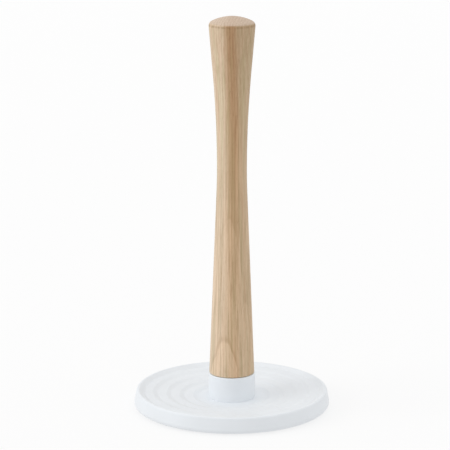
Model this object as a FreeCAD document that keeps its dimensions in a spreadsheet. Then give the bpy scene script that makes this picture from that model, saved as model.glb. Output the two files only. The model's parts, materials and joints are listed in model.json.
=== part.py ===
import FreeCAD, Part

import math
import os

import Sketcher

# A paper towel holder.  A turned wooden post spins in a bearing collar, which stands in
# the middle of a round, weighted base with a shallow terraced dish for the roll.
# Lengths are in millimetres.  +Z is up, and the origin is on the table, on the post's axis.

SIZES = {
    # the whole holder
    "total_height": 322.0,
    "base_diameter": 160.0,
    # base shell
    "cavity_height": 2.5,
    "rim_width": 4.4,
    "rim_outer_radius": 1.8,
    "rim_inner_radius": 2.0,
    "rim_drop": 2.2,
    "rim_slope_width": 4.2,
    "terrace_drop": 1.1,
    "terrace_count": 4.0,
    "terrace_slope_width": 3.6,
    "terrace_edge_radius": 5.0,
    "skirt_lean": 11.0,
    "skirt_edge_radius": 3.5,
    "skirt_land": 0.9,
    "shell_wall": 2.5,
    "underside_shift": 1.4,
    "rib_thickness": 2.0,
    "rib_count": 8.0,
    # bottom cover and feet
    "foot_proud": 1.0,
    "foot_diameter": 13.0,
    "foot_thickness": 2.0,
    "foot_edge_radius": 0.6,
    "foot_inset": 9.5,
    "foot_count": 6.0,
    "cover_thickness": 2.0,
    "cover_ledge": 1.2,
    "cover_edge_chamfer": 0.4,
    "locating_rib_thickness": 1.6,
    "locating_rib_height": 2.0,
    # screws
    "cover_screw_count": 4.0,
    "collar_screw_count": 3.0,
    "screw_diameter": 3.0,
    "screw_core_diameter": 2.5,
    "screw_tip_length": 1.5,
    "screw_head_diameter": 5.6,
    "screw_head_height": 1.7,
    "screw_cross_width": 0.8,
    "screw_cross_length": 3.2,
    "screw_cross_depth": 0.9,
    "screw_boss_wall": 2.5,
    "collar_screw_length": 10.0,
    # collar
    "collar_diameter": 38.2,
    "collar_height": 20.5,
    "collar_edge_radius": 0.8,
    "collar_wall": 2.5,
    "collar_roof": 2.5,
    "hub_wall": 2.0,
    # bearing
    "bush_outer_diameter": 12.0,
    "bush_length": 8.5,
    "bush_flange_diameter": 19.0,
    "bush_flange_thickness": 1.5,
    "washer_thickness": 1.0,
    "clip_thickness": 0.7,
    "clip_outer_diameter": 12.0,
    "clip_mouth": 5.0,
    "spindle_diameter": 8.0,
    "spindle_flange_diameter": 18.0,
    "spindle_flange_thickness": 2.0,
    "spindle_groove_diameter": 6.0,
    "spindle_tail": 1.4,
    "spindle_end_gap": 0.6,
    "spindle_stud_length": 18.0,
    "spindle_chamfer": 0.8,
    "insert_diameter": 12.0,
    "insert_length": 19.0,
    "insert_sink": 0.5,
    "insert_groove_depth": 0.7,
    "insert_groove_width": 1.6,
    "insert_groove_count": 5.0,
    # ballast
    "ballast_gap": 0.3,
    # wooden post
    "post_gap": 0.25,
    "foot_end_diameter": 36.9,
    "waist_diameter": 24.1,
    "head_diameter": 37.2,
    "waist_above_foot": 171.05,
    "lower_curve_share": 0.12,
    "upper_curve_share": 0.62,
    "head_edge_radius": 4.1,
    "head_crown_radius": 36.85,
    "post_edge_radius": 1.0,
    "bore_tip_height": 3.0,
    # clearances
    "close_fit": 0.1,
    "running_fit": 0.03,
    "screw_clearance": 0.15,
    "axial_float": 0.1,
    "weld": 0.3,
    "screw_tip_gap": 0.5,
    "bore_end_gap": 1.0,
}

# Heights above the table and radii that follow from the sizes.
COVER_TOP = "(Sizes.foot_proud + Sizes.cover_thickness)"
DISH_CEILING = f"({COVER_TOP} + Sizes.cavity_height)"
DISH_FLOOR = f"({DISH_CEILING} + Sizes.shell_wall)"
RIM_HEIGHT = f"({DISH_FLOOR} + Sizes.terrace_count * Sizes.terrace_drop + Sizes.rim_drop)"
SHELL_HEIGHT = f"({RIM_HEIGHT} - Sizes.foot_proud)"
SKIRT_ARC_X = "(Sizes.base_diameter / 2 - Sizes.skirt_edge_radius)"
SKIRT_TANGENT_X = f"({SKIRT_ARC_X} + Sizes.skirt_edge_radius * cos(Sizes.skirt_lean))"
SKIRT_TANGENT_Z = "(Sizes.skirt_edge_radius * (1 + sin(Sizes.skirt_lean)))"
RIM_RADIUS = f"({SKIRT_TANGENT_X} - ({SHELL_HEIGHT} - {SKIRT_TANGENT_Z}) * tan(Sizes.skirt_lean))"
DISH_RADIUS = f"({RIM_RADIUS} - Sizes.rim_width)"
REBATE_RADIUS = f"({SKIRT_ARC_X} - Sizes.skirt_land)"
CAVITY_RADIUS = f"({REBATE_RADIUS} - Sizes.cover_ledge)"
COLLAR_RADIUS = "(Sizes.collar_diameter / 2)"
TERRACE_PITCH = f"(({DISH_RADIUS} - {COLLAR_RADIUS}) / (Sizes.terrace_count + 1))"

HUB_BORE_RADIUS = "(Sizes.bush_outer_diameter / 2)"
RECESS_RADIUS = "(Sizes.bush_flange_diameter / 2 + Sizes.close_fit)"
HUB_RADIUS = f"({RECESS_RADIUS} + Sizes.hub_wall)"
CORING_RADIUS = f"({COLLAR_RADIUS} - Sizes.collar_wall)"
COLLAR_SCREW_CIRCLE = f"(({HUB_RADIUS} + {CORING_RADIUS}) / 2)"
COLLAR_BOSS_RADIUS = f"(({CORING_RADIUS} - {HUB_RADIUS}) / 2 + Sizes.weld)"


def floor_height(terrace):
    """Height of a terrace of the dish above the table; terrace 0 is next to the rim."""
    return f"({RIM_HEIGHT} - Sizes.rim_drop - {terrace} * Sizes.terrace_drop)"


def ceiling_height(terrace):
    """Height of the shell's underside below a terrace."""
    return f"({floor_height(terrace)} - Sizes.shell_wall)"


def riser_radius(step):
    """Radius half-way down from terrace step - 1 to terrace step; step 0 comes down from the rim."""
    return f"({DISH_RADIUS} - {step} * {TERRACE_PITCH})"


def riser_edges(step):
    """Upper and lower edge of a sloping riser, as (radius, height above the shell's foot)."""
    slope = "Sizes.terrace_slope_width" if step else "Sizes.rim_slope_width"
    upper = floor_height(step - 1) if step else RIM_HEIGHT
    return (
        (f"({riser_radius(step)} + {slope} / 2)", f"({upper} - Sizes.foot_proud)"),
        (f"({riser_radius(step)} - {slope} / 2)", f"({floor_height(step)} - Sizes.foot_proud)"),
    )


def underside_radius(step):
    """Radius of the same step on the shell's underside."""
    return f"({riser_radius(step)} + Sizes.underside_shift)"


INNER_TERRACE = int(SIZES["terrace_count"])
COLLAR_TOP = f"({DISH_FLOOR} + Sizes.collar_height)"
POST_FOOT = f"({COLLAR_TOP} + Sizes.post_gap)"
THRUST_TOP = f"({POST_FOOT} - Sizes.spindle_flange_thickness)"
UPPER_FLANGE_TOP = f"({THRUST_TOP} - Sizes.washer_thickness)"
UPPER_SEAT = f"({UPPER_FLANGE_TOP} - Sizes.bush_flange_thickness)"
SPINDLE_END = f"({COVER_TOP} + Sizes.spindle_end_gap)"
CLIP_BOTTOM = f"({SPINDLE_END} + Sizes.spindle_tail)"
WASHER_BOTTOM = f"({CLIP_BOTTOM} + Sizes.clip_thickness)"
WASHER_TOP = f"({WASHER_BOTTOM} + Sizes.washer_thickness)"
LOWER_FLANGE_BOTTOM = f"({WASHER_TOP} + Sizes.axial_float)"
LOWER_SEAT = f"({LOWER_FLANGE_BOTTOM} + Sizes.bush_flange_thickness)"
BALLAST_TERRACE = 2
BALLAST_BOTTOM = f"({COVER_TOP} + Sizes.close_fit)"
BALLAST_TOP = f"({ceiling_height(BALLAST_TERRACE)} - Sizes.close_fit)"
BALLAST_INNER = f"({underside_radius(BALLAST_TERRACE + 1)} + Sizes.ballast_gap)"
BALLAST_OUTER = f"({CAVITY_RADIUS} - Sizes.ballast_gap)"
COVER_RADIUS = f"({REBATE_RADIUS} - Sizes.close_fit)"
COVER_SCREW_CIRCLE = f"(({BALLAST_INNER} + {BALLAST_OUTER}) / 2)"
COVER_BOSS_RADIUS = "(Sizes.screw_diameter / 2 + Sizes.screw_boss_wall)"
COVER_SCREW_LENGTH = f"({ceiling_height(1)} - Sizes.foot_proud)"
SCREW_CORE_RADIUS = "(Sizes.screw_core_diameter / 2)"
PILOT_RADIUS = f"({SCREW_CORE_RADIUS} + Sizes.running_fit)"
SHANK_HOLE_RADIUS = "(Sizes.screw_diameter / 2 + Sizes.screw_clearance)"
FOOT_CIRCLE = f"({COVER_RADIUS} - Sizes.foot_inset)"
FOOT_RECESS_DEPTH = "(Sizes.foot_thickness - Sizes.foot_proud)"
FOOT_RECESS_RADIUS = "(Sizes.foot_diameter / 2 + Sizes.close_fit)"
SPIGOT_HOLE_RADIUS = f"({HUB_RADIUS} + Sizes.close_fit)"
BUSH_BORE_RADIUS = "(Sizes.spindle_diameter / 2 + Sizes.running_fit)"
WASHER_BORE_RADIUS = "(Sizes.spindle_diameter / 2 + Sizes.close_fit)"
POST_LENGTH = f"(Sizes.total_height - {POST_FOOT})"
FOOT_END_RADIUS = "(Sizes.foot_end_diameter / 2)"
WAIST_RADIUS = "(Sizes.waist_diameter / 2)"
HEAD_RADIUS = "(Sizes.head_diameter / 2)"
LOWER_ARC_END = "(Sizes.waist_above_foot * (1 - Sizes.lower_curve_share))"
UPPER_ARC_END = (
    f"(Sizes.waist_above_foot + ({POST_LENGTH} - Sizes.waist_above_foot) * Sizes.upper_curve_share)"
)


def make_sheet(doc):
    """Put the driving sizes in a spreadsheet, each under its own alias."""
    sheet = doc.addObject("Spreadsheet::Sheet", "Sizes")
    for row, (name, size) in enumerate(SIZES.items(), start=1):
        sheet.set(f"A{row}", name)
        sheet.set(f"B{row}", str(size))
        sheet.setAlias(f"B{row}", name)
    doc.recompute()


def number(doc, expression):
    """Present value of an expression over the sheet."""
    found = doc.getObject("Sizes").evalExpression(expression)
    return float(getattr(found, "Value", found))


def local(height, foot):
    """A height above the table, counted from a piece's own foot."""
    return f"({height} - {foot})"


def make_body(doc, label):
    body = doc.addObject("PartDesign::Body", label)
    body.Label = label
    return body


def origin_part(body, role):
    return next(item for item in body.Origin.OriginFeatures if item.Role == role)


def place(piece, height, circle="0", angle="0"):
    """Bind a piece's placement: its height, and its spot on a circle about the post."""
    piece.setExpression("Placement.Base.x", f"{circle} * cos({angle})")
    piece.setExpression("Placement.Base.y", f"{circle} * sin({angle})")
    piece.setExpression("Placement.Base.z", height)


# ---------------------------------------------------------------- sketches


def sketch_on(body, role, name, height=None):
    """New sketch on one of the body's own origin planes, lifted by an expression."""
    sketch = body.newObject("Sketcher::SketchObject", name)
    sketch.AttachmentSupport = [(origin_part(body, role), "")]
    sketch.MapMode = "FlatFace"
    if height is not None:
        sketch.setExpression("AttachmentOffset.Base.z", height)
    return sketch


def bind(sketch, kind, targets, expression):
    """Add a sized constraint and let an expression drive it."""
    size = number(sketch.Document, expression)
    index = sketch.addConstraint(Sketcher.Constraint(kind, *targets, size))
    sketch.setExpression(f"Constraints[{index}]", expression)


def pin_point(sketch, edge, end, across, up):
    """Tie a point to its two coordinates; the coordinate "0" puts it on the axis."""
    for kind, axis, expression in (("DistanceX", -2, across), ("DistanceY", -1, up)):
        if expression == "0":
            sketch.addConstraint(Sketcher.Constraint("PointOnObject", edge, end, axis))
        else:
            bind(sketch, kind, (-1, 1, edge, end), expression)


def add_line(sketch, start, end):
    return sketch.addGeometry(Part.LineSegment(FreeCAD.Vector(*start), FreeCAD.Vector(*end)), False)


def add_arc(sketch, centre, radius, first, last):
    """Arc between two angles in degrees, anticlockwise."""
    circle = Part.Circle(FreeCAD.Vector(*centre), FreeCAD.Vector(0, 0, 1), radius)
    arc = Part.ArcOfCircle(circle, math.radians(first), math.radians(last))
    return sketch.addGeometry(arc, False)


def meet(sketch, first, first_end, second, second_end):
    sketch.addConstraint(Sketcher.Constraint("Coincident", first, first_end, second, second_end))


def touch(sketch, first, first_end, second, second_end):
    sketch.addConstraint(Sketcher.Constraint("Tangent", first, first_end, second, second_end))


def add_corners(sketch, corners):
    """Open run of lines through corners given as pairs of expressions."""
    points = [[number(sketch.Document, each) for each in corner] for corner in corners]
    edges = [add_line(sketch, start, end) for start, end in zip(points, points[1:])]
    for first, second in zip(edges, edges[1:]):
        meet(sketch, first, 2, second, 1)
    for edge, corner in zip(edges, corners):
        pin_point(sketch, edge, 1, *corner)
    pin_point(sketch, edges[-1], 2, *corners[-1])
    return edges


def close_corners(sketch, corners):
    """Closed outline of straight lines."""
    edges = add_corners(sketch, corners)
    points = [[number(sketch.Document, each) for each in corner] for corner in corners]
    last = add_line(sketch, points[-1], points[0])
    meet(sketch, edges[-1], 2, last, 1)
    meet(sketch, last, 2, edges[0], 1)


def circle_sketch(body, name, height, radius, circle="0", angle="0"):
    """Sketch of one circle that stands on a pitch circle at an angle."""
    sketch = sketch_on(body, "XY_Plane", name, height)
    across = "0" if circle == "0" else f"{circle} * cos({angle})"
    up = "0" if "0" in (circle, angle) else f"{circle} * sin({angle})"
    centre = FreeCAD.Vector(number(body.Document, across), number(body.Document, up), 0)
    shape = Part.Circle(centre, FreeCAD.Vector(0, 0, 1), number(body.Document, radius))
    edge = sketch.addGeometry(shape, False)
    bind(sketch, "Radius", (edge,), radius)
    pin_point(sketch, edge, 3, across, up)
    return sketch


def rectangle_sketch(body, name, height, low, high):
    """Sketch of a rectangle between two corners given as expressions."""
    sketch = sketch_on(body, "XY_Plane", name, height)
    close_corners(sketch, [low, (high[0], low[1]), high, (low[0], high[1])])
    return sketch


# ---------------------------------------------------------------- features


def revolve(body, sketch, name):
    feature = body.newObject("PartDesign::Revolution", name)
    feature.Profile = sketch
    feature.ReferenceAxis = (sketch, ["V_Axis"])
    feature.Angle = 360
    body.Document.recompute()


def turned(doc, label, corners):
    """Body turned about its own Z axis from corners given as (radius, height)."""
    body = make_body(doc, label)
    sketch = sketch_on(body, "XZ_Plane", f"{label}_outline")
    close_corners(sketch, corners)
    revolve(body, sketch, f"{label}_turning")
    return body


def tube(doc, label, inner, outer, length):
    return turned(doc, label, [(inner, "0"), (outer, "0"), (outer, length), (inner, length)])


def extrude(body, kind, sketch, name, length):
    """Pad or pocket upwards from a sketch; the solid has to grow or shrink by it."""
    before = body.Shape.Volume
    feature = body.newObject(f"PartDesign::{kind}", name)
    feature.Profile = sketch
    feature.Reversed = kind == "Pocket"
    feature.setExpression("Length", length)
    body.Document.recompute()
    grown = body.Shape.Volume - before
    if grown == 0 or (grown > 0) != (kind == "Pad"):
        raise RuntimeError(f"{body.Label}: {name} has no effect")
    return feature


def repeat_round(body, feature, name, count):
    """Polar pattern of a feature about the body's Z axis."""
    pattern = body.newObject("PartDesign::PolarPattern", name)
    pattern.Originals = [feature]
    pattern.Axis = (origin_part(body, "Z_Axis"), [""])
    pattern.Angle = 360
    pattern.setExpression("Occurrences", count)
    body.Tip = pattern
    body.Document.recompute()


def circle_edges(shape, radius, height):
    """Names of the full circular edges of a radius at a height."""
    names = []
    for index, edge in enumerate(shape.Edges, start=1):
        if edge.Degenerated or not edge.isClosed():
            continue
        curve = edge.Curve
        if not isinstance(curve, Part.Circle):
            continue
        if abs(curve.Radius - radius) < 1e-4 and abs(curve.Center.z - height) < 1e-4:
            names.append(f"Edge{index}")
    if not names:
        raise RuntimeError(f"no edge of radius {radius} at height {height}")
    return names


def dress(body, kind, name, size, spots):
    """Fillet or chamfer the circular edges at (radius, height) spots."""
    base = body.Tip
    names = []
    for spot in spots:
        radius, height = [number(body.Document, each) for each in spot]
        names += circle_edges(base.Shape, radius, height)
    feature = body.newObject(f"PartDesign::{kind}", name)
    feature.Base = (base, names)
    feature.setExpression("Radius" if kind == "Fillet" else "Size", size)
    body.Document.recompute()


# ---------------------------------------------------------------- base


def shell_corners():
    """Corners of the shell's section, from the skirt's lean up, in and back down."""
    foot = "Sizes.foot_proud"
    corners = [(SKIRT_TANGENT_X, SKIRT_TANGENT_Z), (RIM_RADIUS, SHELL_HEIGHT)]
    for step in range(INNER_TERRACE + 1):
        corners += riser_edges(step)
    corners.append((SPIGOT_HOLE_RADIUS, local(DISH_FLOOR, foot)))
    corners.append((SPIGOT_HOLE_RADIUS, local(DISH_CEILING, foot)))
    for step in range(INNER_TERRACE, 0, -1):
        corners.append((underside_radius(step), local(ceiling_height(step), foot)))
        corners.append((underside_radius(step), local(ceiling_height(step - 1), foot)))
    corners += [
        (CAVITY_RADIUS, local(ceiling_height(0), foot)),
        (CAVITY_RADIUS, "Sizes.cover_thickness"),
        (REBATE_RADIUS, "Sizes.cover_thickness"),
        (REBATE_RADIUS, "0"),
        (SKIRT_ARC_X, "0"),
    ]
    return corners


def turn_base_shell(doc):
    """Turned form of the shell: skirt, rim, terraces and the stepped underside."""
    body = make_body(doc, "base_shell")
    sketch = sketch_on(body, "XZ_Plane", "shell_outline")
    edges = add_corners(sketch, shell_corners())
    radius = number(doc, "Sizes.skirt_edge_radius")
    centre = (number(doc, SKIRT_ARC_X), radius)
    arc = add_arc(sketch, centre, radius, -90, number(doc, "Sizes.skirt_lean"))
    meet(sketch, edges[-1], 2, arc, 1)
    meet(sketch, arc, 2, edges[0], 1)
    bind(sketch, "Radius", (arc,), "Sizes.skirt_edge_radius")
    revolve(body, sketch, "shell_turning")
    return body


def add_cover_bosses(body):
    """Bosses for the cover's screws, which pass through the ballast ring."""
    seat = "Sizes.cover_thickness"
    top = local(f"({ceiling_height(1)} + Sizes.weld)", "Sizes.foot_proud")
    sketch = circle_sketch(body, "cover_boss_outline", seat, COVER_BOSS_RADIUS, COVER_SCREW_CIRCLE, "45")
    pad = extrude(body, "Pad", sketch, "cover_boss", f"{top} - {seat}")
    repeat_round(body, pad, "cover_bosses", "Sizes.cover_screw_count")
    sketch = circle_sketch(body, "cover_pilot_outline", seat, PILOT_RADIUS, COVER_SCREW_CIRCLE, "45")
    depth = f"{COVER_SCREW_LENGTH} - {seat} + Sizes.screw_tip_gap"
    pocket = extrude(body, "Pocket", sketch, "cover_pilot", depth)
    repeat_round(body, pocket, "cover_pilots", "Sizes.cover_screw_count")


def add_ribs(body):
    """Radial ribs between the ballast ring and the outer terraces."""
    foot = local(ceiling_height(BALLAST_TERRACE), "Sizes.foot_proud")
    top = local(f"({ceiling_height(0)} + Sizes.weld)", "Sizes.foot_proud")
    half = "Sizes.rib_thickness / 2"
    low = (f"({underside_radius(BALLAST_TERRACE)} - Sizes.weld)", f"-{half}")
    high = (f"({CAVITY_RADIUS} + Sizes.weld)", half)
    sketch = rectangle_sketch(body, "rib_outline", foot, low, high)
    pad = extrude(body, "Pad", sketch, "rib", f"{top} - {foot}")
    repeat_round(body, pad, "ribs", "Sizes.rib_count")


def drill_collar_screw_holes(body):
    seat = local(DISH_CEILING, "Sizes.foot_proud")
    sketch = circle_sketch(body, "collar_hole_outline", seat, SHANK_HOLE_RADIUS, COLLAR_SCREW_CIRCLE, "90")
    pocket = extrude(body, "Pocket", sketch, "collar_hole", "Sizes.shell_wall")
    repeat_round(body, pocket, "collar_holes", "Sizes.collar_screw_count")


def make_base_shell(doc):
    body = turn_base_shell(doc)
    add_ribs(body)
    add_cover_bosses(body)
    drill_collar_screw_holes(body)
    dress(body, "Fillet", "rim_outer_rounding", "Sizes.rim_outer_radius", [(RIM_RADIUS, SHELL_HEIGHT)])
    dress(body, "Fillet", "rim_inner_rounding", "Sizes.rim_inner_radius", riser_edges(0))
    spots = [edge for step in range(1, INNER_TERRACE + 1) for edge in riser_edges(step)]
    dress(body, "Fillet", "terrace_rounding", "Sizes.terrace_edge_radius", spots)
    place(body, "Sizes.foot_proud")
    return body


def make_ballast_ring(doc):
    thickness = local(BALLAST_TOP, BALLAST_BOTTOM)
    body = tube(doc, "ballast_ring", BALLAST_INNER, BALLAST_OUTER, thickness)
    radius = f"({COVER_BOSS_RADIUS} + Sizes.ballast_gap)"
    sketch = circle_sketch(body, "boss_hole_outline", "0", radius, COVER_SCREW_CIRCLE, "45")
    pocket = extrude(body, "Pocket", sketch, "boss_hole", thickness)
    repeat_round(body, pocket, "boss_holes", "Sizes.cover_screw_count")
    place(body, BALLAST_BOTTOM)
    return body


def make_bottom_cover(doc):
    """Round plate with a locating rib for the ballast, foot recesses and screw seats."""
    thick = "Sizes.cover_thickness"
    rib_top = f"({thick} + Sizes.locating_rib_height)"
    rib_outer = f"({BALLAST_INNER} - Sizes.ballast_gap)"
    rib_inner = f"({rib_outer} - Sizes.locating_rib_thickness)"
    body = turned(doc, "bottom_cover", [
        ("0", "0"),
        (COVER_RADIUS, "0"),
        (COVER_RADIUS, thick),
        (rib_outer, thick),
        (rib_outer, rib_top),
        (rib_inner, rib_top),
        (rib_inner, thick),
        ("0", thick),
    ])
    dress(body, "Chamfer", "cover_chamfer", "Sizes.cover_edge_chamfer", [(COVER_RADIUS, "0")])
    sketch = circle_sketch(body, "foot_recess_outline", "0", FOOT_RECESS_RADIUS, FOOT_CIRCLE)
    pocket = extrude(body, "Pocket", sketch, "foot_recess", FOOT_RECESS_DEPTH)
    repeat_round(body, pocket, "foot_recesses", "Sizes.foot_count")
    sketch = circle_sketch(body, "screw_hole_outline", "0", SHANK_HOLE_RADIUS, COVER_SCREW_CIRCLE, "45")
    pocket = extrude(body, "Pocket", sketch, "screw_hole", thick)
    repeat_round(body, pocket, "screw_holes", "Sizes.cover_screw_count")
    sink = "(Sizes.screw_head_diameter - Sizes.screw_diameter) / 2"
    dress(body, "Chamfer", "countersinks", sink, [(SHANK_HOLE_RADIUS, "0")])
    place(body, "Sizes.foot_proud")
    return body


def make_foot(doc, index):
    """Round rubber foot, sunk in the bottom cover."""
    radius = "Sizes.foot_diameter / 2"
    thick = "Sizes.foot_thickness"
    corners = [("0", "0"), (radius, "0"), (radius, thick), ("0", thick)]
    body = turned(doc, f"foot_{index + 1}", corners)
    dress(body, "Fillet", f"foot_{index + 1}_rounding", "Sizes.foot_edge_radius", [(radius, "0")])
    place(body, "0", FOOT_CIRCLE, f"360 * {index} / Sizes.foot_count")
    return body


# ---------------------------------------------------------------- screws


def cut_cross(body, name):
    """Cross recess in the underside of a screw's head."""
    half_width = "Sizes.screw_cross_width / 2"
    half_length = "Sizes.screw_cross_length / 2"
    for arm, across, up in (("a", half_length, half_width), ("b", half_width, half_length)):
        low = (f"-{across}", f"-{up}")
        sketch = rectangle_sketch(body, f"{name}_cross_{arm}", "0", low, (across, up))
        extrude(body, "Pocket", sketch, f"{name}_slot_{arm}", "Sizes.screw_cross_depth")


def countersunk_screw(doc, name):
    """Countersunk screw with its head down."""
    head = "Sizes.screw_head_diameter / 2"
    neck = f"({head} - {SCREW_CORE_RADIUS})"
    body = turned(doc, name, [
        ("0", "0"),
        (head, "0"),
        (SCREW_CORE_RADIUS, neck),
        (SCREW_CORE_RADIUS, f"{COVER_SCREW_LENGTH} - Sizes.screw_tip_length"),
        ("0", COVER_SCREW_LENGTH),
    ])
    cut_cross(body, name)
    return body


def pan_head_screw(doc, name):
    """Pan-head screw with its head down."""
    head = "Sizes.screw_head_diameter / 2"
    seat = "Sizes.screw_head_height"
    body = turned(doc, name, [
        ("0", "0"),
        (head, "0"),
        (head, seat),
        (SCREW_CORE_RADIUS, seat),
        (SCREW_CORE_RADIUS, f"{seat} + Sizes.collar_screw_length - Sizes.screw_tip_length"),
        ("0", f"{seat} + Sizes.collar_screw_length"),
    ])
    cut_cross(body, name)
    return body


def screw_group(doc, label, make_screw, count, height, circle, first_angle):
    """One node of identical screws, spread evenly on a pitch circle."""
    screws = []
    for index in range(int(number(doc, count))):
        screw = make_screw(doc, f"{label}_{index + 1}")
        place(screw, height, circle, f"({first_angle} + 360 * {index} / {count})")
        screws.append(screw)
    group = doc.addObject("Part::Compound", label)
    group.Label = label
    group.Links = screws
    return group


def make_cover_screws(doc):
    count = "Sizes.cover_screw_count"
    return screw_group(doc, "cover_screws", countersunk_screw, count, "Sizes.foot_proud", COVER_SCREW_CIRCLE, 45)


def make_collar_screws(doc):
    count = "Sizes.collar_screw_count"
    height = f"({DISH_CEILING} - Sizes.screw_head_height)"
    return screw_group(doc, "collar_screws", pan_head_screw, count, height, COLLAR_SCREW_CIRCLE, 90)


# ---------------------------------------------------------------- bearing


def make_collar(doc):
    """Bearing collar: an outer wall and a hub joined at the top, cored from below."""
    foot = DISH_CEILING
    outer_foot = local(DISH_FLOOR, foot)
    coring_top = local(f"({UPPER_SEAT} - Sizes.collar_roof)", foot)
    upper_seat = local(UPPER_SEAT, foot)
    lower_seat = local(LOWER_SEAT, foot)
    top = local(COLLAR_TOP, foot)
    body = turned(doc, "collar", [
        (RECESS_RADIUS, "0"),
        (HUB_RADIUS, "0"),
        (HUB_RADIUS, coring_top),
        (CORING_RADIUS, coring_top),
        (CORING_RADIUS, outer_foot),
        (COLLAR_RADIUS, outer_foot),
        (COLLAR_RADIUS, top),
        (RECESS_RADIUS, top),
        (RECESS_RADIUS, upper_seat),
        (HUB_BORE_RADIUS, upper_seat),
        (HUB_BORE_RADIUS, lower_seat),
        (RECESS_RADIUS, lower_seat),
    ])
    count = "Sizes.collar_screw_count"
    sketch = circle_sketch(body, "screw_boss_outline", outer_foot, COLLAR_BOSS_RADIUS, COLLAR_SCREW_CIRCLE, "90")
    pad = extrude(body, "Pad", sketch, "screw_boss", f"{coring_top} - {outer_foot} + Sizes.weld")
    repeat_round(body, pad, "screw_bosses", count)
    sketch = circle_sketch(body, "screw_pilot_outline", "0", PILOT_RADIUS, COLLAR_SCREW_CIRCLE, "90")
    depth = "Sizes.collar_screw_length + Sizes.screw_tip_gap"
    pocket = extrude(body, "Pocket", sketch, "screw_pilot", depth)
    repeat_round(body, pocket, "screw_pilots", count)
    dress(body, "Fillet", "collar_rounding", "Sizes.collar_edge_radius", [(COLLAR_RADIUS, top)])
    place(body, foot)
    return body


def make_bush(doc, label, seat, flange_up):
    """Flanged bush whose flange lies on its seat, above or below the sleeve."""
    bore = BUSH_BORE_RADIUS
    sleeve = HUB_BORE_RADIUS
    flange = "Sizes.bush_flange_diameter / 2"
    length = "Sizes.bush_length"
    thick = "Sizes.bush_flange_thickness"
    reach = f"({length} - {thick})"
    if flange_up:
        steps = [(sleeve, "0"), (sleeve, reach), (flange, reach), (flange, length)]
    else:
        steps = [(flange, "0"), (flange, thick), (sleeve, thick), (sleeve, length)]
    body = turned(doc, label, [(bore, "0"), *steps, (bore, length)])
    place(body, local(seat, reach if flange_up else thick))
    return body


def make_upper_bush(doc):
    return make_bush(doc, "upper_bush", UPPER_SEAT, True)


def make_lower_bush(doc):
    return make_bush(doc, "lower_bush", LOWER_SEAT, False)


def make_thrust_washer(doc):
    outer = "Sizes.bush_flange_diameter / 2"
    body = tube(doc, "thrust_washer", WASHER_BORE_RADIUS, outer, "Sizes.washer_thickness")
    place(body, UPPER_FLANGE_TOP)
    return body


# ---------------------------------------------------------------- post


def make_spindle(doc):
    """Steel stud: clip groove, journal, carrying flange and the stud in the insert."""
    foot = SPINDLE_END
    journal = "Sizes.spindle_diameter / 2"
    groove = "Sizes.spindle_groove_diameter / 2"
    flange = "Sizes.spindle_flange_diameter / 2"
    stud = f"({journal} - Sizes.running_fit)"
    clip_low = local(CLIP_BOTTOM, foot)
    clip_high = local(WASHER_BOTTOM, foot)
    flange_low = local(THRUST_TOP, foot)
    flange_high = local(POST_FOOT, foot)
    top = f"({flange_high} + Sizes.spindle_stud_length)"
    body = turned(doc, "spindle", [
        ("0", "0"),
        (journal, "0"),
        (journal, clip_low),
        (groove, clip_low),
        (groove, clip_high),
        (journal, clip_high),
        (journal, flange_low),
        (flange, flange_low),
        (flange, flange_high),
        (stud, flange_high),
        (stud, top),
        ("0", top),
    ])
    dress(body, "Chamfer", "spindle_chamfers", "Sizes.spindle_chamfer", [(journal, "0"), (stud, top)])
    place(body, foot)
    return body


def make_spindle_washer(doc):
    outer = "Sizes.spindle_flange_diameter / 2"
    body = tube(doc, "spindle_washer", WASHER_BORE_RADIUS, outer, "Sizes.washer_thickness")
    place(body, WASHER_BOTTOM)
    return body


def make_retaining_clip(doc):
    """Open clip that snaps into the spindle's groove from the side."""
    inner = "(Sizes.spindle_groove_diameter / 2 + Sizes.running_fit)"
    outer = "Sizes.clip_outer_diameter / 2"
    body = tube(doc, "retaining_clip", inner, outer, "Sizes.clip_thickness")
    half = "Sizes.clip_mouth / 2"
    sketch = rectangle_sketch(body, "clip_mouth_outline", "0", ("0", f"-{half}"), (outer, half))
    extrude(body, "Pocket", sketch, "clip_mouth", "Sizes.clip_thickness")
    place(body, CLIP_BOTTOM)
    return body


def make_threaded_insert(doc):
    """Brass insert with grooves that the glue holds in the wood."""
    bore = "Sizes.spindle_diameter / 2"
    outer = "Sizes.insert_diameter / 2"
    waist = f"({outer} - Sizes.insert_groove_depth)"
    pitch = "Sizes.insert_length / (Sizes.insert_groove_count + 1)"
    corners = [(bore, "0"), (outer, "0")]
    for index in range(1, int(number(doc, "Sizes.insert_groove_count")) + 1):
        low = f"({index} * {pitch} - Sizes.insert_groove_width / 2)"
        high = f"({index} * {pitch} + Sizes.insert_groove_width / 2)"
        corners += [(outer, low), (waist, low), (waist, high), (outer, high)]
    corners += [(outer, "Sizes.insert_length"), (bore, "Sizes.insert_length")]
    body = turned(doc, "threaded_insert", corners)
    place(body, f"({POST_FOOT} + Sizes.insert_sink)")
    return body


def taper_angle(growth, height, curved):
    """Lean in degrees of a taper that starts with an arc over part of its height."""
    return math.degrees(math.atan(growth / (height - curved / 2)))


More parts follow.
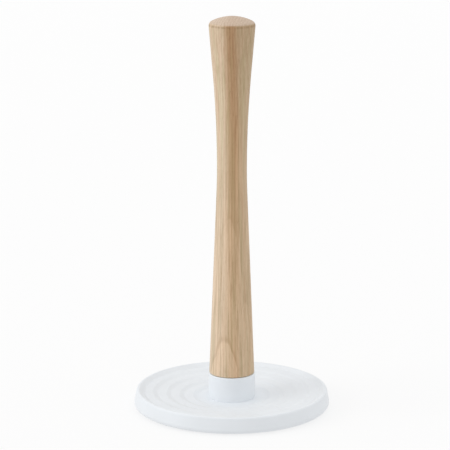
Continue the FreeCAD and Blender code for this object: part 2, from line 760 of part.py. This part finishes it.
def draw_waist(sketch, doc, foot_line):
    """Lower taper's end, both waist arcs and the upper taper, tangent to each other."""
    waist = number(doc, WAIST_RADIUS)
    middle = number(doc, "Sizes.waist_above_foot")
    low = number(doc, LOWER_ARC_END)
    high = number(doc, UPPER_ARC_END)
    length = number(doc, POST_LENGTH)
    low_lean = taper_angle(number(doc, FOOT_END_RADIUS) - waist, middle, middle - low)
    high_lean = taper_angle(number(doc, HEAD_RADIUS) - waist, length - middle, high - middle)
    low_radius = (middle - low) / math.sin(math.radians(low_lean))
    high_radius = (high - middle) / math.sin(math.radians(high_lean))
    lower = add_arc(sketch, (waist + low_radius, middle), low_radius, 180, 180 + low_lean)
    upper = add_arc(sketch, (waist + high_radius, middle), high_radius, 180 - high_lean, 180)
    touch(sketch, foot_line, 2, lower, 2)
    touch(sketch, lower, 1, upper, 2)
    pin_point(sketch, lower, 1, WAIST_RADIUS, "Sizes.waist_above_foot")
    bind(sketch, "DistanceY", (-1, 1, lower, 3), "Sizes.waist_above_foot")
    bind(sketch, "DistanceY", (-1, 1, lower, 2), LOWER_ARC_END)
    bind(sketch, "DistanceY", (-1, 1, upper, 1), UPPER_ARC_END)
    return upper, high_lean


def draw_head(sketch, doc, upper_arc, lean):
    """Upper taper, rolled edge and domed crown, tangent to each other."""
    edge_radius = number(doc, "Sizes.head_edge_radius")
    crown_radius = number(doc, "Sizes.head_crown_radius")
    edge_x = number(doc, HEAD_RADIUS) - edge_radius
    crown_z = number(doc, POST_LENGTH) - crown_radius
    turn = math.acos(edge_x / (crown_radius - edge_radius))
    edge_z = crown_z + (crown_radius - edge_radius) * math.sin(turn)
    turn = math.degrees(turn)
    reach = math.radians(lean)
    top = (edge_x + edge_radius * math.cos(reach), edge_z - edge_radius * math.sin(reach))
    start = sketch.getPoint(upper_arc, 1)
    taper = add_line(sketch, (start.x, start.y), top)
    edge = add_arc(sketch, (edge_x, edge_z), edge_radius, -lean, turn)
    crown = add_arc(sketch, (0, crown_z), crown_radius, turn, 90)
    touch(sketch, upper_arc, 1, taper, 1)
    touch(sketch, taper, 2, edge, 1)
    touch(sketch, edge, 2, crown, 1)
    bind(sketch, "Radius", (edge,), "Sizes.head_edge_radius")
    bind(sketch, "DistanceX", (-1, 1, edge, 3), f"{HEAD_RADIUS} - Sizes.head_edge_radius")
    bind(sketch, "Radius", (crown,), "Sizes.head_crown_radius")
    sketch.addConstraint(Sketcher.Constraint("PointOnObject", crown, 3, -2))
    return crown


def make_post(doc):
    """Turned wooden post: foot, waist, flared head with a domed crown, and its bore."""
    body = make_body(doc, "post")
    sketch = sketch_on(body, "XZ_Plane", "post_outline")
    bore = "(Sizes.insert_diameter / 2 + Sizes.close_fit)"
    depth = "(Sizes.insert_sink + Sizes.insert_length + Sizes.bore_end_gap)"
    inner = add_corners(sketch, [
        ("0", POST_LENGTH),
        ("0", f"({depth} + Sizes.bore_tip_height)"),
        (bore, depth),
        (bore, "0"),
        (FOOT_END_RADIUS, "0"),
    ])
    foot = (number(doc, FOOT_END_RADIUS), 0)
    foot_line = add_line(sketch, foot, (number(doc, WAIST_RADIUS), number(doc, LOWER_ARC_END)))
    meet(sketch, inner[-1], 2, foot_line, 1)
    upper_arc, lean = draw_waist(sketch, doc, foot_line)
    crown = draw_head(sketch, doc, upper_arc, lean)
    meet(sketch, crown, 2, inner[0], 1)
    revolve(body, sketch, "post_turning")
    dress(body, "Fillet", "foot_rounding", "Sizes.post_edge_radius", [(FOOT_END_RADIUS, "0")])
    place(body, POST_FOOT)
    return body


# ---------------------------------------------------------------- the whole holder


def make_pieces(doc):
    pieces = [
        make_base_shell(doc),
        make_collar(doc),
        make_collar_screws(doc),
        make_upper_bush(doc),
        make_lower_bush(doc),
        make_thrust_washer(doc),
        make_ballast_ring(doc),
        make_bottom_cover(doc),
        make_cover_screws(doc),
        make_post(doc),
        make_threaded_insert(doc),
        make_spindle(doc),
        make_spindle_washer(doc),
        make_retaining_clip(doc),
    ]
    pieces += [make_foot(doc, index) for index in range(int(SIZES["foot_count"]))]
    doc.recompute()
    return pieces


def check(doc, pieces):
    """Stop if any object failed, or a piece isn't made of valid solids."""
    for item in doc.Objects:
        if {"Invalid", "Error"} & set(item.State):
            raise RuntimeError(f"{item.Label}: {item.State}")
    for piece in pieces:
        if piece.Shape.isNull() or not piece.Shape.isValid() or not piece.Shape.Solids:
            raise RuntimeError(f"{piece.Label}: bad shape")


def main():
    doc = FreeCAD.newDocument("paper_towel_holder")
    make_sheet(doc)
    pieces = make_pieces(doc)
    check(doc, pieces)
    os.makedirs("parts", exist_ok=True)
    for piece in pieces:
        piece.Shape.exportStep(f"parts/{piece.Label}.step")
        box = piece.Shape.optimalBoundingBox()
        print(f"{piece.Label}: {len(piece.Shape.Solids)} solid, z {box.ZMin:.2f} to {box.ZMax:.2f}")


main()
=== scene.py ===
import json
import math

import bmesh
import bpy
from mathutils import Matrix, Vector

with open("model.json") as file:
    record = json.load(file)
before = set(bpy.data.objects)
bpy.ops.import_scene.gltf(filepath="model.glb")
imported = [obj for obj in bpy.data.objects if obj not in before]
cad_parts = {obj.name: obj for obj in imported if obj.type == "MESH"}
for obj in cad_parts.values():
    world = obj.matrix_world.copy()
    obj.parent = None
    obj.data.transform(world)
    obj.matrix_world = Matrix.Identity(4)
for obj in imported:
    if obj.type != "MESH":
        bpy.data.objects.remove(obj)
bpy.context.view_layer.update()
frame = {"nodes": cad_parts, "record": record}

# The looks of a paper towel holder: a satin wooden post on a white plastic base.
# Lengths are in metres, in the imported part's own frame. Inside the materials they are millimetres.

MM = 0.001

# The wood's figure: width of a growth ring and how far the layers drift and flutter, in millimetres,
# and the cathedral arches, each as middle and height of the tip in millimetres, curve and strength.
RING_WIDTH = 2.3
LAYER_DRIFT = 7.0
LAYER_FLUTTER = 1.6
WOOD_ARCHES = ((-5.6, 60.0, 0.23, 0.40), (-2.0, 162.0, 0.50, 0.14), (11.0, 92.0, 0.90, 0.18))

# Lights, each with its name, where it shines from, strength, and spread in degrees.
SUNS = (
    ("key_left", (-0.90, -0.20, 0.40), 0.74, 45),
    ("fill_right", (0.90, -0.10, 0.25), 0.13, 45),
    ("ceiling", (0.05, 0.15, 1.0), 0.46, 70),
)
SURROUND_STRENGTH = 0.76
FLOOR_RADIUS = 9.0
FLOOR_GLOW = 0.67

# The camera's place, its angles in degrees, and its sensor and lens in millimetres.
CAMERA_PLACE = (0.0, -1.8, 0.5823)
CAMERA_DOWN = 13.434
CAMERA_LEFT = 0.1773
CAMERA_SENSOR = 36.0
CAMERA_LENS = 183.3


# ---------------------------------------------------------------- node helpers


class Nodes:
    """Short way to add and join shader nodes in one material."""

    def __init__(self, name):
        self.material = bpy.data.materials.new(name)
        self.material.use_nodes = True
        self.tree = self.material.node_tree
        self.tree.nodes.clear()
        self.shader = self.add("ShaderNodeBsdfPrincipled")
        output = self.add("ShaderNodeOutputMaterial")
        self.join(self.shader.outputs["BSDF"], output.inputs["Surface"])

    def add(self, kind, **settings):
        node = self.tree.nodes.new(kind)
        for name, value in settings.items():
            setattr(node, name, value)
        return node

    def join(self, source, target):
        self.tree.links.new(source, target)

    def put(self, target, value):
        """Link a socket, or set a plain value."""
        if isinstance(value, bpy.types.NodeSocket):
            self.join(value, target)
        else:
            target.default_value = value

    def math(self, operation, *values):
        node = self.add("ShaderNodeMath", operation=operation)
        for socket, value in zip(node.inputs, values):
            self.put(socket, value)
        return node.outputs[0]

    def product(self, first, second):
        return self.math("MULTIPLY", first, second)

    def axes(self, vector):
        """The three parts of a vector, as sockets named X, Y and Z."""
        node = self.add("ShaderNodeSeparateXYZ")
        self.join(vector, node.inputs[0])
        return node.outputs

    def place(self, scale=(1, 1, 1), move=(0, 0, 0), turn=(0, 0, 0)):
        """Object coordinates in millimetres, scaled, turned and moved."""
        source = self.add("ShaderNodeTexCoord").outputs["Object"]
        mapping = self.add("ShaderNodeMapping")
        self.join(source, mapping.inputs["Vector"])
        mapping.inputs["Location"].default_value = move
        mapping.inputs["Rotation"].default_value = turn
        mapping.inputs["Scale"].default_value = [each / MM for each in scale]
        return mapping.outputs[0]

    def noise(self, vector, detail=2.0, roughness=0.5):
        node = self.add("ShaderNodeTexNoise")
        self.join(vector, node.inputs["Vector"])
        node.inputs["Scale"].default_value = 1.0
        node.inputs["Detail"].default_value = detail
        node.inputs["Roughness"].default_value = roughness
        return node.outputs["Fac"]

    def span(self, value, low, high, to_low=0.0, to_high=1.0, smooth=False):
        """Turn the range low to high into to_low to to_high, and hold it at both ends."""
        node = self.add("ShaderNodeMapRange")
        node.interpolation_type = "SMOOTHSTEP" if smooth else "LINEAR"
        for index, each in enumerate((value, low, high, to_low, to_high)):
            self.put(node.inputs[index], each)
        return node.outputs[0]

    def band(self, value, rise, fall):
        """Rise smoothly from 0 to 1 over the first pair of values, and fall over the second."""
        rising = self.span(value, *rise, smooth=True)
        falling = self.span(value, *fall, 1.0, 0.0, smooth=True)
        return self.product(rising, falling)

    def mix(self, factor, first, second, blend="MIX"):
        node = self.add("ShaderNodeMix", data_type="RGBA", blend_type=blend)
        self.put(node.inputs["Factor"], factor)
        for name, value in (("A", first), ("B", second)):
            socket = next(s for s in node.inputs if s.name == name and s.type == "RGBA")
            self.put(socket, value if isinstance(value, bpy.types.NodeSocket) else (*value, 1.0))
        return next(s for s in node.outputs if s.type == "RGBA")

    def stain(self, tone, where, strength, tint):
        """Multiply a tone by a tint, as strongly as a mask says."""
        return self.mix(self.product(where, strength), tone, tint, "MULTIPLY")

    def bump(self, height, distance, strength=1.0, under=None):
        node = self.add("ShaderNodeBump")
        self.join(height, node.inputs["Height"])
        node.inputs["Distance"].default_value = distance
        node.inputs["Strength"].default_value = strength
        if under is not None:
            self.join(under, node.inputs["Normal"])
        return node.outputs[0]

    def set(self, **values):
        """Set or link inputs of the shader; an underscore stands for a space."""
        for name, value in values.items():
            self.put(self.shader.inputs[name.replace("_", " ")], value)


def colour(red, green, blue):
    """Linear colour from display values of 0 to 255."""
    def linear(value):
        value /= 255
        return value / 12.92 if value <= 0.04045 else ((value + 0.055) / 1.055) ** 2.4
    return tuple(linear(each) for each in (red, green, blue))


def shaded(tint, share):
    """A share of a tint, so a darker one."""
    return tuple(share * each for each in tint)


# ---------------------------------------------------------------- materials


def wood_layers(n):
    """Distance across the growth layers in millimetres, and the height, with the grain's drift."""
    lean = (math.radians(0.5), math.radians(0.4), math.radians(12))
    sway = n.noise(n.place((0.035, 0.035, 0.0055), (3.1, 7.7, 1.3)), 3.0, 0.55)
    flutter = n.noise(n.place((0.20, 0.20, 0.014), (11.0, 2.0, 5.0)), 2.0, 0.5)
    position = n.axes(n.place(turn=lean))
    layer = n.math("ADD", position["X"], n.product(sway, LAYER_DRIFT))
    layer = n.math("ADD", layer, n.product(flutter, LAYER_FLUTTER))
    return layer, position["Z"]


def wood_ground(n, layer, height):
    """Broad tones from left to right: pale on the left as painted light from the left, the wood's own
    browner streak, then a greyer right edge as a painted sheen; darker at the head, partly the wood's
    own tone and partly painted shade.
    """
    # Painted light: the left side of the post is paler and the right side browner, as if lit from the
    # left.
    painted_light_falloff = n.span(layer, -0.4, 9.6, smooth=True)
    # Painted sheen: a greyer right edge that stands in for a grazing reflection of the white
    # surroundings.
    painted_right_sheen = n.span(layer, 11.0, 16.5, smooth=True)
    streak = n.band(layer, (2.8, 9.0), (10.5, 15.5))
    streak = n.product(streak, n.span(height, 70.0, 230.0, 0.1, 1.0, smooth=True))
    broad = n.noise(n.place((0.075, 0.075, 0.0045), (1.0, 4.0, 9.0)), 2.0, 0.5)
    broad = n.span(broad, 0.35, 0.66, smooth=True)
    tone = n.mix(painted_light_falloff, colour(247, 229, 205), colour(230, 202, 168))
    tone = n.mix(n.product(painted_right_sheen, 0.6), tone, colour(218, 200, 172))
    tone = n.mix(n.product(broad, 0.25), tone, colour(212, 183, 147))
    tone = n.mix(n.product(streak, 0.62), tone, colour(193, 155, 111))
    # Darker towards the head: partly the wood's own tone, partly painted shade where the bounce light
    # from the base fades; weaker on the painted-lit left side.
    darker = n.span(height, 160.0, 310.0, 0.0, 0.75, smooth=True)
    darker = n.product(darker, n.span(painted_light_falloff, 0.0, 1.0, 0.35, 1.0))
    return n.mix(darker, tone, n.mix(painted_right_sheen, colour(177, 142, 107), colour(190, 165, 134)))


def wood_painted_facing_light(n, tone, blush):
    """Painted highlight, a pale tone, on the up-facing crown, and painted shade, a browner tone,
    where the wood faces a little upwards.

    That is the corner round the head, and patches of the post below its waist.
    """
    up = n.axes(n.add("ShaderNodeNewGeometry").outputs["Normal"])["Z"]
    # Painted shade: darker brown, in patches, on faces tilted a little upwards.
    painted_edge_shade = n.product(n.span(up, -0.06, 0.10), n.span(up, 0.30, 0.45, 1.0, 0.0))
    painted_edge_shade = n.product(painted_edge_shade, n.span(blush, 0.38, 0.58, 0.05, 0.45))
    # Painted highlight: paler on up-facing surfaces, as if the light from above falls on them.
    crown = n.span(up, 0.40, 0.70, 0.0, 0.80, smooth=True)
    tone = n.mix(painted_edge_shade, tone, colour(150, 116, 82))
    return n.mix(crown, tone, colour(219, 200, 183))


def wood_arch(n, tone, middle, apex, curve, strength):
    """Cathedral figure on the front of the post: paler wood inside a darker outline."""
    wander = n.noise(n.place((0.16, 0.16, 0.05), (apex, 0.0, 0.0)), 2.0, 0.5)
    position = n.axes(n.place())
    offset = n.span(wander, 0.0, 1.0, -3.0 - middle, 3.0 - middle)
    across = n.math("ADD", position["X"], offset)
    drop = n.product(n.product(across, across), curve)
    depth = n.math("SUBTRACT", n.math("SUBTRACT", apex, position["Z"]), drop)
    front = n.span(position["Y"], -3.0, -9.0, smooth=True)
    fade = n.product(front, n.span(depth, 14.0, 34.0, 1.0, 0.0, smooth=True))
    inside = n.product(n.span(depth, -0.5, 3.0, smooth=True), fade)
    line = n.product(n.band(depth, (-7.0, -0.5), (-0.5, 3.0)), fade)
    tone = n.mix(n.product(inside, strength), tone, colour(244, 215, 184))
    return n.stain(tone, line, strength, (0.78, 0.70, 0.62))


def wood_grain(n, tone, layer, fibre, dash):
    """Late wood in each ring, strands, fibres and short dark dashes."""
    ring = n.math("FRACT", n.math("DIVIDE", layer, RING_WIDTH))
    strand = n.noise(n.place((0.75, 0.75, 0.010), (5.0, 1.0, 0.0)), 3.0, 0.6)
    tone = n.stain(tone, n.band(ring, (0.25, 0.90), (0.90, 1.0)), 0.34, (0.74, 0.66, 0.57))
    tone = n.stain(tone, n.span(strand, 0.42, 0.66, smooth=True), 0.50, (0.76, 0.70, 0.63))
    tone = n.stain(tone, n.span(fibre, 0.46, 0.72), 0.48, (0.70, 0.62, 0.53))
    return n.stain(tone, dash, 0.35, (0.55, 0.45, 0.36))


def wood_material():
    """Pale, straight-grained hardwood with a browner streak, and a satin oil finish; its colour also
    holds painted light from the left and from above, and painted shade round the head.
    """
    n = Nodes("pale_hardwood")
    layer, height = wood_layers(n)
    blush = n.noise(n.place((0.30, 0.30, 0.006), (9.0, 3.0, 2.0)), 2.0, 0.5)
    fibre = n.noise(n.place((2.3, 2.3, 0.022)), 4.0, 0.62)
    dash = n.noise(n.place((2.9, 2.9, 0.22), (2.0, 8.0, 4.0)), 2.0, 0.5)
    dash = n.span(dash, 0.60, 0.72, smooth=True)

    # Broad tones, with painted light from the left and a painted sheen at the right edge.
    tone = wood_ground(n, layer, height)
    tone = n.mix(n.span(blush, 0.35, 0.60, 0.5, 0.0), tone, (1.0, 0.92, 0.88), "MULTIPLY")
    tone = n.mix(n.span(blush, 0.45, 0.70, 0.0, 0.7), tone, (0.90, 0.96, 0.86), "MULTIPLY")
    # Painted highlight on the crown and painted shade on faces tilted a little upwards.
    tone = wood_painted_facing_light(n, tone, blush)
    for arch in WOOD_ARCHES:
        tone = wood_arch(n, tone, *arch)
    tone = wood_grain(n, tone, layer, fibre, dash)

    rough = n.span(fibre, 0.3, 0.7, 0.44, 0.56)
    grain = n.bump(fibre, 0.05 * MM, 0.5)
    grain = n.bump(n.math("SUBTRACT", 1.0, dash), 0.04 * MM, 0.5, grain)
    n.set(Base_Color=tone, Roughness=rough, Normal=grain, IOR=1.48, Specular_IOR_Level=0.2)
    return n.material


def white_material(name, tint, roughness, grain_size, grain_depth):
    """Moulded white plastic with a fine spark-eroded texture and faint unevenness of gloss."""
    n = Nodes(name)
    spark = n.noise(n.place((1 / grain_size,) * 3), 3.0, 0.6)
    cloud = n.noise(n.place((0.045, 0.045, 0.045), (4.0, 2.0, 0.0)), 3.0, 0.5)
    flow = n.noise(n.place((0.5, 0.5, 0.5), (7.0, 0.0, 0.0)), 2.0, 0.5)
    base = n.mix(n.span(cloud, 0.3, 0.7), tint, shaded(tint, 0.965))
    rough = n.span(spark, 0.3, 0.7, roughness - 0.03, roughness + 0.03)
    rough = n.math("ADD", rough, n.span(flow, 0.3, 0.7, -0.02, 0.02))
    n.set(Base_Color=base, Roughness=rough, Normal=n.bump(spark, grain_depth * MM, 0.6), IOR=1.49)
    return n.material


def metal_material(name, tint, roughness, metallic=1.0):
    """Metal with fine lathe marks around the post's axis."""
    n = Nodes(name)
    marks = n.noise(n.place((0.05, 0.05, 14.0)), 3.0, 0.7)
    patches = n.noise(n.place((0.4, 0.4, 0.4)), 3.0, 0.6)
    base = n.mix(n.span(patches, 0.3, 0.75), tint, shaded(tint, 0.8))
    rough = n.span(marks, 0.3, 0.7, roughness - 0.06, roughness + 0.08)
    n.set(Base_Color=base, Roughness=rough, Metallic=metallic, Normal=n.bump(marks, 0.01 * MM, 0.5))
    return n.material


def rubber_material():
    """Matt grey rubber with a gritty skin."""
    n = Nodes("grey_rubber")
    grit = n.noise(n.place((5.0, 5.0, 5.0)), 4.0, 0.65)
    base = n.mix(n.span(grit, 0.3, 0.7), (0.085, 0.085, 0.088), (0.115, 0.115, 0.118))
    rough = n.span(grit, 0.3, 0.7, 0.72, 0.86)
    n.set(Base_Color=base, Roughness=rough, Normal=n.bump(grit, 0.03 * MM, 0.7), IOR=1.5)
    return n.material


def make_materials():
    """One material for each slot of the record."""
    return {
        "post_wood": wood_material(),
        "white_shell": white_material("satin_white", colour(237, 241, 245), 0.36, 0.35, 0.012),
        "white_cover": white_material("matt_white", colour(226, 227, 230), 0.55, 0.5, 0.03),
        "bush_plastic": white_material("natural_acetal", colour(233, 230, 220), 0.42, 0.6, 0.01),
        "ballast_steel": metal_material("black_dip", (0.022, 0.022, 0.024), 0.5, 0.0),
        "screw_steel": metal_material("zinc_plate", (0.60, 0.61, 0.62), 0.32),
        "clip_steel": metal_material("black_spring_steel", (0.10, 0.10, 0.105), 0.38),
        "spindle_steel": metal_material("turned_steel", (0.56, 0.57, 0.58), 0.26),
        "insert_brass": metal_material("turned_brass", (0.72, 0.53, 0.22), 0.28),
        "foot_rubber": rubber_material(),
    }


def dress_nodes(materials):
    """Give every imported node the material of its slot."""
    for row in frame["record"]["subparts"]:
        node = frame["nodes"][row["node"]]
        node.data.materials.clear()
        node.data.materials.append(materials[row["material_slot"]])


# ---------------------------------------------------------------- studio


def add_floor():
    """Plain pale floor that fills every view. Diffuse rays miss it, so it doesn't light the walls."""
    mesh = bpy.data.meshes.new("floor")
    form = bmesh.new()
    bmesh.ops.create_circle(form, cap_ends=True, radius=FLOOR_RADIUS, segments=96)
    form.to_mesh(mesh)
    form.free()
    floor = bpy.data.objects.new("floor", mesh)
    bpy.context.scene.collection.objects.link(floor)
    n = Nodes("studio_floor")
    n.set(Base_Color=(0.30, 0.30, 0.30, 1.0), Roughness=0.9, Specular_IOR_Level=0.1)
    n.set(Emission_Color=(1.0, 1.0, 1.0, 1.0), Emission_Strength=FLOOR_GLOW)
    mesh.materials.append(n.material)
    floor.visible_diffuse = False


def add_sun(name, direction, strength, spread):
    """Soft light from a direction; a wide spread stands for a large softbox."""
    data = bpy.data.lights.new(name, "SUN")
    data.energy = strength
    data.angle = math.radians(spread)
    light = bpy.data.objects.new(name, data)
    light.rotation_euler = Vector(direction).to_track_quat("Z", "Y").to_euler()
    bpy.context.scene.collection.objects.link(light)


def add_studio():
    """Bright, even surround, with a large soft light on the left and weaker ones right and above."""
    world = bpy.data.worlds.new("studio")
    world.use_nodes = True
    background = world.node_tree.nodes["Background"]
    background.inputs["Color"].default_value = (1.0, 1.0, 1.0, 1.0)
    background.inputs["Strength"].default_value = SURROUND_STRENGTH
    bpy.context.scene.world = world
    for sun in SUNS:
        add_sun(*sun)


def add_camera():
    """Long lens in front of the holder, looking slightly down on it."""
    data = bpy.data.cameras.new("camera")
    data.sensor_width = CAMERA_SENSOR
    data.lens = CAMERA_LENS
    camera = bpy.data.objects.new("camera", data)
    camera.location = CAMERA_PLACE
    camera.rotation_euler = (math.radians(90 - CAMERA_DOWN), 0.0, math.radians(CAMERA_LEFT))
    bpy.context.scene.collection.objects.link(camera)
    bpy.context.scene.camera = camera


bpy.context.scene.view_settings.view_transform = "Standard"
add_camera()
dress_nodes(make_materials())
add_floor()
add_studio()
